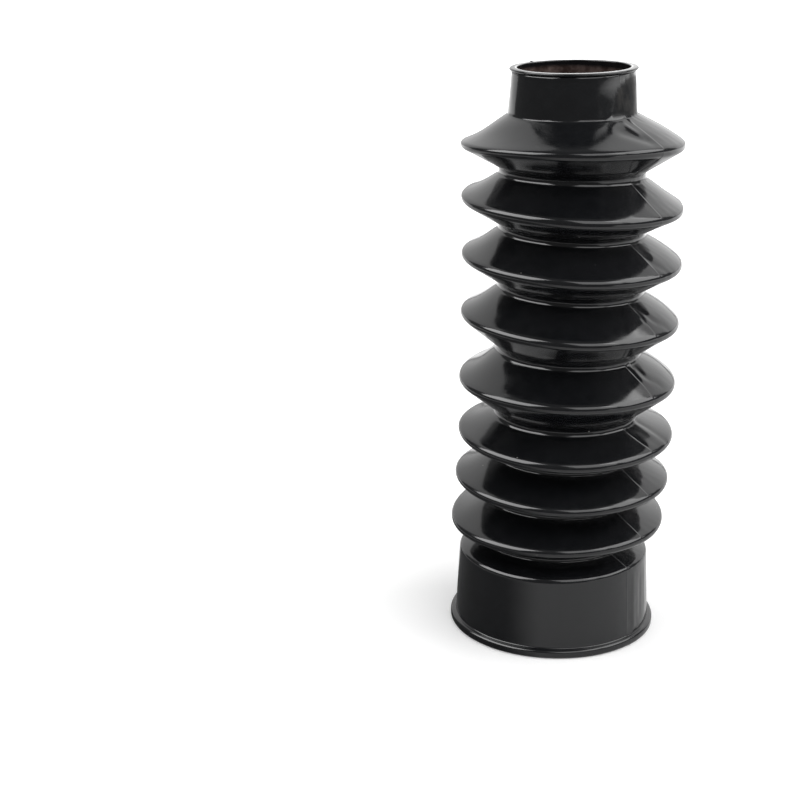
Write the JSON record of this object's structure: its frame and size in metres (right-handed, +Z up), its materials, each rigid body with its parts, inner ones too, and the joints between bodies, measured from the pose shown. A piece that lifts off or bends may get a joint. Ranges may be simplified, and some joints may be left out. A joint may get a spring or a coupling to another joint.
{
  "type": "fork gaiter",
  "caption": "Bellows sleeve of moulded rubber that covers a motorbike's front fork, with a narrow collar at the top, round pleats and a wide beaded cuff.",
  "frame": {"origin": "on the surface that the cuff stands on, under the middle of the outline's box; the cuff's own axis lies 1.96 mm from it towards -X, because the soft bellows leans and bows to +X", "axes": "+Z up, from the wide cuff to the narrow collar; -Y is the side that the picture shows"},
  "size_m": [0.0742, 0.0718, 0.1914],
  "materials": {
    "rubber": "glossy black moulded rubber"
  },
  "bodies": {
    "root": {"gaiter": "rubber"}
  },
  "joints": []
}
